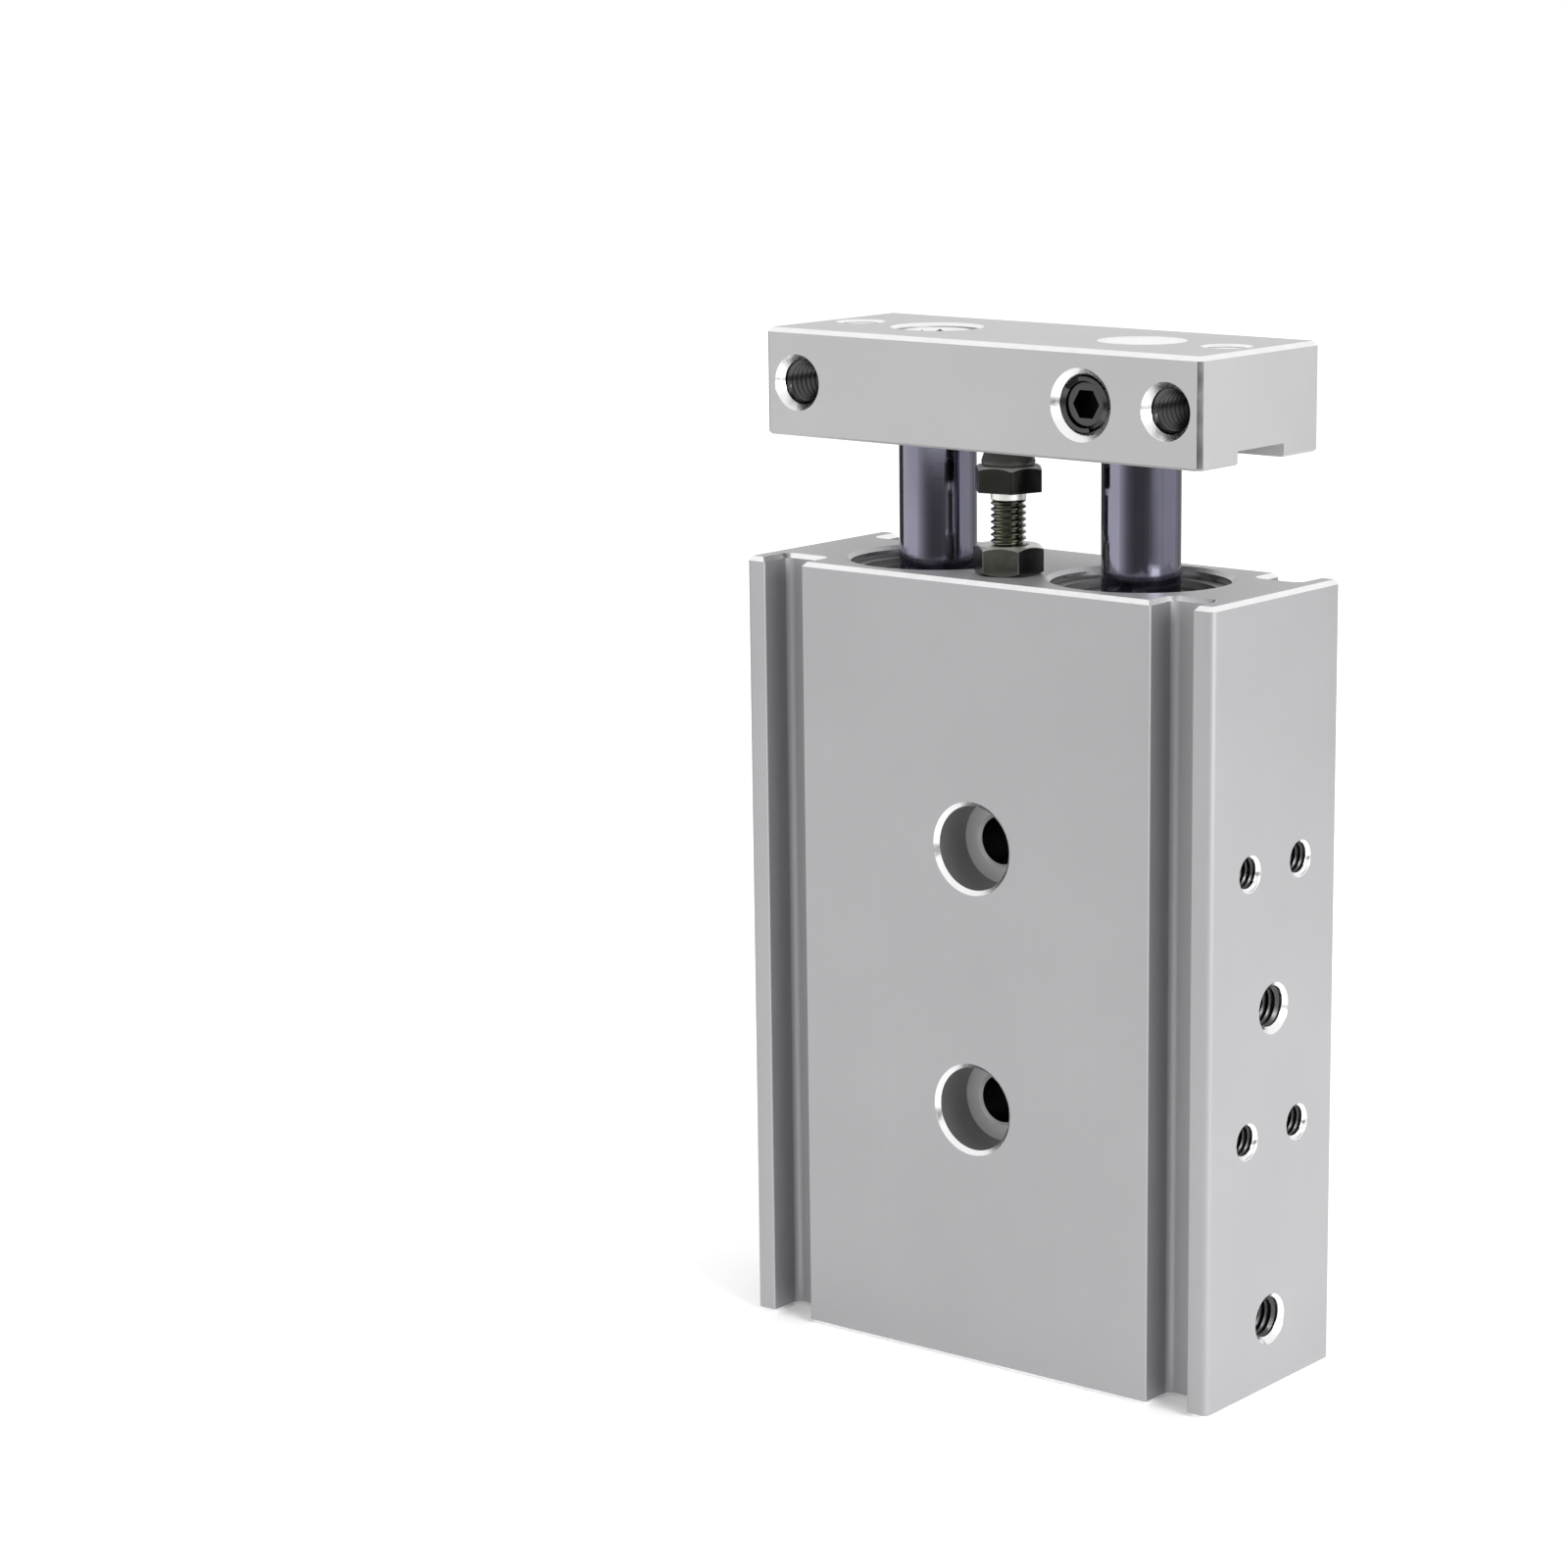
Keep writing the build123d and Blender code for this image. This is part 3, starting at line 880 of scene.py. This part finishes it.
def cap_hole_outline(thick):
    """The left rod's pocket from below and the cap screw's counterbore from above."""
    return [
        (0, -thick - BEYOND),
        (ROD_HOLE_RADIUS, -thick - BEYOND),
        (ROD_HOLE_RADIUS, ROD_POCKET - thick),
        (CAP_HOLE_RADIUS, ROD_POCKET - thick),
        (CAP_HOLE_RADIUS, -CAP_SEAT_DEPTH),
        (CAP_SEAT_RADIUS, -CAP_SEAT_DEPTH),
        (CAP_SEAT_RADIUS, -CAP_SEAT_CHAMFER),
        (CAP_SEAT_RADIUS + CAP_SEAT_CHAMFER, 0),
        (CAP_SEAT_RADIUS + CAP_SEAT_CHAMFER, BEYOND),
        (0, BEYOND),
    ]


def coned_hole(radius, depth, chamfer):
    """A plain round hole with a chamfered mouth."""
    outline = [(0, -depth), (radius, -depth), (radius, -chamfer), (radius + chamfer, 0)]
    return outline + [(radius + chamfer, BEYOND), (0, BEYOND)]


def make_plate():
    """The end plate with its holes, and its threads as a second piece."""
    width, depth = plate_high.x, plate_high.y
    low, high = plate_low.z, plate_high.z
    thick = high - low
    block = prism(
        "plate_block", plate_outline(), low, high, PLATE_CHAMFER, low_chamfer=PLATE_LOW_CHAMFER
    )
    channel = [
        (-width - BEYOND, -CHANNEL_HALF, 0),
        (width + BEYOND, -CHANNEL_HALF, 0),
        (width + BEYOND, CHANNEL_HALF, 0.3),
        (-width - BEYOND, CHANNEL_HALF, 0.3),
    ]
    front = facing(BORE_X, plate_low.y, PLATE_MIDDLE, (0, -1, 0))
    rod_hole = coned_hole(ROD_HOLE_RADIUS, thick + BEYOND, ROD_HOLE_CHAMFER)
    cutters = [
        prism("channel", channel, low - BEYOND, low + CHANNEL_DEPTH),
        hole_cutter(cap_hole_outline(thick), upright(-BORE_X, 0, high)),
        hole_cutter(rod_hole, upright(BORE_X, 0, high)),
        hole_cutter(coned_hole(SET_HOLE_RADIUS, depth, SET_HOLE_CHAMFER), front),
    ]
    threads = [helix("thread", thread_profile(2.55, 3.0), SET_PITCH, -7.5, -0.6, front)]
    for way in (-1, 1):
        top = upright(way * PLATE_HOLE_X, 0, high)
        mouth = facing(way * PLATE_HOLE_X, plate_low.y, PLATE_MIDDLE, (0, -1, 0))
        cutters.append(tapped_cutter("M5", thick + BEYOND, TOP_HOLE_CHAMFER, top))
        cutters.append(
            tapped_cutter("M5", FRONT_HOLE_DEPTH, FRONT_HOLE_CHAMFER, mouth, FRONT_HOLE_STEEP)
        )
        threads.append(tapped_wall("M5", TOP_THREAD_TOP, thick - CHANNEL_DEPTH, top))
        threads.append(
            tapped_wall("M5", FRONT_THREAD_TOP, FRONT_THREAD_BOTTOM, mouth, FRONT_HOLE_STEEP)
        )
    block = shade(cut(block, cutters))
    finishes = [plate_finish, bare_edge_and_highlight, hole_shade_finish, plate_corner_shade_finish]
    finished(block, "rods", finishes, ["end_plate"])
    # Painted shade on the plate's corner chamfers.
    paint_inside(block, plate_corner_shade_finish, on_plate_corner)
    # Painted shade inside the holes of the plate's front.
    paint_inside(block, hole_shade_finish, in_plate_hole)
    # Painted highlight on the plate's top chamfer and the mouths of its front holes, partly bare
    # cut aluminium.
    paint_inside(block, bare_edge_and_highlight, on_plate_edge)
    # The plate's threads carry painted shade, apart from their start at the cone.
    walls = shade(joined("plate_threads", threads), THREAD_SHADE_ANGLE)
    finished(walls, "rods", [hole_shade_finish, bare_edge_and_highlight])
    # Painted highlight where a top hole's cone cuts the thread.
    paint_inside(walls, bare_edge_and_highlight, on_plate_cone)


def in_plate_hole(middle, normal):
    """Whether a point of the plate is inside a hole of its front."""
    up = middle.z - PLATE_MIDDLE
    across = min(math.hypot(abs(middle.x) - PLATE_HOLE_X, up), math.hypot(middle.x - BORE_X, up))
    return across < 3.05 and plate_low.y + 0.1 < middle.y < plate_high.y - 0.1


def on_plate_cone(middle, normal):
    """Whether a point of a top hole's thread is where the chamfer's cone has cut it."""
    return abs(middle.y) < 2.6 and middle.z > plate_high.z - TOP_HOLE_CHAMFER


def on_plate_corner(middle, normal):
    """Whether a face belongs to a chamfer along one of the plate's upright corners."""
    reach = PLATE_CHAMFER + 0.02
    at_corner = abs(middle.x) > plate_high.x - reach and abs(middle.y) > plate_high.y - reach
    return at_corner and abs(normal.z) < 0.1


def on_plate_edge(middle, normal):
    """Whether a face of the plate belongs to a chamfer along its top or round a hole."""
    if sloped(normal.z) and middle.z > plate_high.z - 1:
        return True
    inside = abs(middle.x) < plate_high.x - 0.7 and middle.z > plate_low.z + 0.6
    return middle.y < plate_low.y + 1.5 and sloped(normal.y) and inside


# The screws

CAP_HEAD_HEIGHT = 5.0
CAP_SHANK_RADIUS = 2.5
CAP_SOCKET_FLATS = 4.0
CAP_SOCKET_DEPTH = 2.5
SET_SOCKET_FLATS = 3.0
SET_SOCKET_DEPTH = 3.0


def socket_cutter(flats, depth, place):
    """A cutter for a hexagon socket."""
    return prism("socket", hexagon(flats), -depth, BEYOND, 0.0, place)


def make_cap_screw():
    """The socket head cap screw in the plate's top."""
    top = cap_high.z
    seat = top - CAP_HEAD_HEIGHT
    head = (cap_high.x - cap_low.x) / 2
    corners = [
        (0, cap_low.z, 0),
        (CAP_SHANK_RADIUS, cap_low.z, 0.4),
        (CAP_SHANK_RADIUS, seat, 0),
        (head, seat, 0.2),
        (head, top, 0.45),
        (0, top, 0),
    ]
    place = upright(-BORE_X, 0, top)
    screw = lathe("cap_screw", rounded(corners, 5, closed=False), upright(-BORE_X), 128)
    mouth = [(0, -2.4), (1.95, -2.4), (1.95, -0.4), (2.4, 0), (2.4, BEYOND), (0, BEYOND)]
    socket = socket_cutter(CAP_SOCKET_FLATS, CAP_SOCKET_DEPTH, place)
    screw = cut(screw, [socket, hole_cutter(mouth, place)])
    finishes = [screw_finish, bare_edge_and_highlight, socket_shade_finish]
    finished(shade(screw), "rods", finishes, ["plate_cap_screw"])
    # Painted shade inside the cap screw's socket.
    paint_inside(screw, socket_shade_finish, in_cap_socket)
    # Painted highlight on the cap screw's top edge.
    paint_inside(
        screw, bare_edge_and_highlight, lambda middle, normal: normal.z > 0.3 and middle.z > top - 0.5
    )


def make_set_screw():
    """The set screw in the plate's front, which clamps the right rod."""
    front = facing(BORE_X, set_low.y, PLATE_MIDDLE, (0, -1, 0))
    length = set_high.y - set_low.y
    wall = helix("thread", thread_profile(2.5, 2.97), SET_PITCH, -length + 0.4, -0.5, front)
    corners = [(0, -length, 0), (2.4, -length, 0.1), (2.6, -0.5, 0.05), (2.35, 0, 0.12), (0, 0, 0)]
    core = lathe("core", rounded(corners, 4, closed=False), front, 96)
    core = cut(core, [socket_cutter(SET_SOCKET_FLATS, SET_SOCKET_DEPTH, front)])
    screw = shade(joined("set_screw", [core, wall]), 40)
    finishes = [screw_finish, socket_shade_finish, hole_shade_finish]
    finished(screw, "rods", finishes, ["plate_set_screw"])
    # Painted shade on the set screw's recessed front face.
    paint_inside(screw, hole_shade_finish, on_set_face)
    # Painted shade inside the set screw's socket.
    paint_inside(screw, socket_shade_finish, in_set_socket)


def in_cap_socket(middle, normal):
    """Whether a point of the cap screw is inside its hexagon socket."""
    return math.hypot(middle.x + BORE_X, middle.y) < 2.3 and middle.z < cap_high.z - 0.05


def on_set_face(middle, normal):
    """Whether a face of the set screw is its flat front."""
    return normal.y < -0.9 and middle.y < set_low.y + 0.1


def in_set_socket(middle, normal):
    """Whether a point of the set screw is inside its hexagon socket."""
    across = math.hypot(middle.x - BORE_X, middle.z - PLATE_MIDDLE)
    return across < 1.76 and middle.y > set_low.y + 0.05


# The stop bolt, its bumper and its nut

STOP_FLATS = 7.0
STOP_HEAD_HEIGHT = 2.8
STOP_HEAD_TURN = -48
STOP_PITCH = 0.7
STOP_NECK_TOP = 0.92
NUT_TURN = -38
NUT_HOLE_RADIUS = 2.02


def hexagon_head(name, flats, low, high, turn, chamfer_low=False, bore=0.0):
    """A hexagon on the bolt's axis whose corners are turned off above, and below if asked."""
    place = upright(0, BOLT_Y, low)
    tilt = math.radians(30)
    corner = flats / 2 / math.cos(tilt)
    face = flats / 2 * 0.97
    drop = (corner + 0.1 - face) * math.tan(tilt)
    thick = high - low
    body = prism(name, hexagon(flats, turn), 0, thick, 0.0, place)
    outline = [(0, 0), (face if chamfer_low else corner + 0.1, 0)]
    if chamfer_low:
        outline.append((corner + 0.1, drop))
    outline += [(corner + 0.1, thick - drop), (face, thick), (0, thick)]
    blank = lathe("blank", outline, place, 128)
    body = cut(body, [blank], "INTERSECT")
    if bore:
        wide = bore + 0.3
        hole = [(0, -BEYOND), (wide, -BEYOND), (wide, 0), (bore, 0.3), (bore, thick - 0.3)]
        hole += [(wide, thick), (wide, thick + BEYOND), (0, thick + BEYOND)]
        body = cut(body, [hole_cutter(hole, place)])
    return body


def make_stop():
    """The stop bolt with its thread, the lock nut and the bumper."""
    axis = upright(0, BOLT_Y)
    low = bolt_low.z
    seat = bumper_low.z - STOP_HEAD_HEIGHT
    head = hexagon_head("stop_bolt_head", STOP_FLATS, seat, bumper_low.z, STOP_HEAD_TURN)
    profile = [(0.0, 1.58), (0.12, 1.58), (0.48, 1.97), (0.64, 1.97)]
    thread = helix("thread", profile, STOP_PITCH, low + 0.4, seat - 1.1, axis, 64)
    corners = [(1.6, seat - 1.3, 0), (1.97, seat - 0.9, 0.1), (1.97, seat - 0.1, 0.05)]
    corners.append((2.2, seat, 0))
    neck = lathe("neck", rounded(corners, 4, closed=False), axis, 96)
    tip = lathe("tip", [(0, low), (1.5, low), (1.6, low + 0.45)], axis, 64)
    bolt = shade(joined("stop_bolt_screw", [head, thread, neck, tip]), 30)
    finishes = [bolt_finish, crest_finish, bolt_highlight_finish]
    finished(bolt, "stop_bolt", finishes, ["stop_bolt"])
    neck_low = seat - STOP_NECK_TOP
    paint_inside(bolt, crest_finish, lambda middle, normal: middle.z < neck_low)
    # Painted highlight on the neck under the head and on the head's top chamfer.
    paint_inside(bolt, bolt_highlight_finish, lambda middle, normal: neck_low <= middle.z < seat - 0.08)
    paint_inside(
        bolt, bolt_highlight_finish, lambda middle, normal: middle.z > seat + 0.1 and normal.z > 0.3
    )
    nut = hexagon_head(
        "lock_nut_piece", STOP_FLATS, nut_low.z, nut_high.z, NUT_TURN, True, NUT_HOLE_RADIUS
    )
    finished(shade(nut), "housing", [nut_finish, bolt_highlight_finish], ["lock_nut"])
    # Painted highlight on the nut's top chamfer.
    paint_inside(nut, bolt_highlight_finish, lambda middle, normal: normal.z > 0.3)
    low, high = bumper_low.z, bumper_high.z
    corners = [(0, low, 0), (2.9, low, 0.15), (3.0, low + 0.5, 0.3), (2.5, high, 0.35)]
    corners.append((0, high, 0))
    bumper = shade(lathe("bumper", rounded(corners, 5, closed=False), axis, 96), 60)
    finished(bumper, "stop_bumper", [urethane_finish], ["stop_bumper"])


def dress_inner_nodes():
    """Better materials for the hidden CAD nodes that stay as they are."""
    finishes = {
        "rod_cover": cover_finish,
        "rod_seal": rubber_finish,
        "piston": piston_finish,
        "magnet": magnet_finish,
        "piston_nut": screw_finish,
        "head_cover": cover_finish,
    }
    for side in SIDES:
        for part, finish in finishes.items():
            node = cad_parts[f"{side}_{part}"]
            node.data.materials.clear()
            node.data.materials.append(finish)


# The camera, solved from the straight edges of the object in the photograph

CAMERA_AZIMUTH = 36.244
CAMERA_ELEVATION = 12.381
CAMERA_DISTANCE = 466.2
CAMERA_TARGET = (0, 0, 58.0)
PHOTO_SIDE = 1600
FOCAL_PIXELS = 4199.4
AXIS_PIXEL = (1059.15, 864.48)


def make_camera():
    """The photograph's camera."""
    data = bpy.data.cameras.new("camera")
    camera = bpy.data.objects.new("camera", data)
    bpy.context.scene.collection.objects.link(camera)
    bpy.context.scene.camera = camera
    azimuth, elevation = math.radians(CAMERA_AZIMUTH), math.radians(CAMERA_ELEVATION)
    back = Vector(
        (
            math.sin(azimuth) * math.cos(elevation),
            -math.cos(azimuth) * math.cos(elevation),
            math.sin(elevation),
        )
    )
    camera.location = (Vector(CAMERA_TARGET) + back * CAMERA_DISTANCE) * MM
    camera.rotation_mode = "QUATERNION"
    camera.rotation_quaternion = (-back).to_track_quat("-Z", "Y")
    data.sensor_width = 36.0
    data.lens = data.sensor_width * FOCAL_PIXELS / PHOTO_SIDE
    data.shift_x = (PHOTO_SIDE / 2 - AXIS_PIXEL[0]) / PHOTO_SIDE
    data.shift_y = (AXIS_PIXEL[1] - PHOTO_SIDE / 2) / PHOTO_SIDE
    data.clip_start, data.clip_end = 0.01, 20


# The stage and its light

FLOOR_HALF = 9000.0
FLOOR_LIT = (0.70, 0.70, 0.70)
FLOOR_SEEN = (1.3, 1.3, 1.3)
WORLD_LIT = 0.86
WORLD_SEEN = 1.0
CARD_DISTANCE = 330.0
CARD_HEIGHT = 118.0
KEY_PLACE = (1050, -250, 330)
KEY_TARGET = (0, 0, 60)
KEY_SIDE = 500
KEY_WATTS = 7.6
# Cards round the object: first and last angle from the camera's side, and how light they are
CARDS = [
    (-64, -56, 0.80),
    (-56, -48, 0.60),
    (-48, -40, 0.42),
    (-40, -31, 0.28),
    (-31, -22, 0.20),
    (-22, 10, 0.15),
    (10, 22, 0.19),
    (22, 32, 0.30),
    (32, 41, 0.44),
    (41, 49, 0.60),
    (49, 66, 0.76),
    (66, 112, 0.88),
    (112, 126, 0.60),
    (126, 180, 0.35),
    (180, 236, 0.08),
]


def plain(name, colour):
    """A plain diffuse stage material."""
    material = bpy.data.materials.new(name)
    material.use_nodes = True
    surface = material.node_tree.nodes["Principled BSDF"]
    surface.inputs["Base Color"].default_value = (*colour, 1)
    surface.inputs["Roughness"].default_value = 0.9
    surface.inputs["Specular IOR Level"].default_value = 0.0
    return material


def seen_or_lit(nodes, links):
    """1 for what the camera, gloss and glass see, and 0 for the light on the object."""
    path = nodes.new("ShaderNodeLightPath")
    total = path.outputs["Is Camera Ray"]
    for way in ("Is Glossy Ray", "Is Transmission Ray"):
        more = nodes.new("ShaderNodeMath")
        more.operation = "MAXIMUM"
        links.new(total, more.inputs[0])
        links.new(path.outputs[way], more.inputs[1])
        total = more.outputs[0]
    return total


def make_floor():
    """A large pale floor that keeps the object's shadow."""
    half = FLOOR_HALF
    corners = [(-half, -half, 0), (half, -half, 0), (half, half, 0), (-half, half, 0)]
    floor = add_piece("floor", corners, [[0, 1, 2, 3]])
    material = plain("floor_white", FLOOR_LIT)
    floor.data.materials.append(material)
    nodes, links = material.node_tree.nodes, material.node_tree.links
    seen = nodes.new("ShaderNodeMix")
    seen.data_type = "RGBA"
    seen.inputs["A"].default_value = (*FLOOR_LIT, 1)
    seen.inputs["B"].default_value = (*FLOOR_SEEN, 1)
    links.new(seen_or_lit(nodes, links), seen.inputs["Factor"])
    links.new(seen.outputs["Result"], nodes["Principled BSDF"].inputs["Base Color"])


def make_cards():
    """Cards that only gloss sees, so that polished metal shows soft bands as in a studio."""
    steps = 6
    faces = [[2 * step, 2 * step + 2, 2 * step + 3, 2 * step + 1] for step in range(steps)]
    for index, (start, stop, light) in enumerate(CARDS):
        points = []
        for step in range(steps + 1):
            angle = math.radians(CAMERA_AZIMUTH + start + (stop - start) * step / steps)
            x, y = CARD_DISTANCE * math.sin(angle), -CARD_DISTANCE * math.cos(angle)
            points += [(x, y, 0), (x, y, CARD_HEIGHT)]
        name = f"card_{index + 1}"
        card = add_piece(name, points, faces)
        card.data.materials.append(plain(name, (light, light, light)))
        card.visible_camera = False
        card.visible_diffuse = False
        card.visible_transmission = False
        card.visible_shadow = False


def make_world():
    """An even pale world, white where the camera, gloss or glass sees it."""
    world = bpy.data.worlds.new("studio")
    bpy.context.scene.world = world
    world.use_nodes = True
    nodes, links = world.node_tree.nodes, world.node_tree.links
    background = nodes["Background"]
    background.inputs["Color"].default_value = (1, 1, 1, 1)
    strength = nodes.new("ShaderNodeMapRange")
    strength.inputs["To Min"].default_value = WORLD_LIT
    strength.inputs["To Max"].default_value = WORLD_SEEN
    links.new(seen_or_lit(nodes, links), strength.inputs["Value"])
    links.new(strength.outputs["Result"], background.inputs["Strength"])


def make_key_light():
    """A soft square lamp that lights the right side."""
    light = bpy.data.lights.new("key", "AREA")
    light.shape = "RECTANGLE"
    light.size = light.size_y = KEY_SIDE * MM
    light.energy = KEY_WATTS
    lamp = bpy.data.objects.new("key", light)
    bpy.context.scene.collection.objects.link(lamp)
    lamp.location = Vector(KEY_PLACE) * MM
    aim = Vector(KEY_TARGET) - Vector(KEY_PLACE)
    lamp.rotation_euler = aim.to_track_quat("-Z", "Y").to_euler()


make_camera()
make_body()
make_rings()
make_retainers()
make_rods()
make_plate()
make_cap_screw()
make_set_screw()
make_stop()
dress_inner_nodes()
make_floor()
make_cards()
make_world()
make_key_light()

bpy.context.scene.view_settings.view_transform = "Standard"
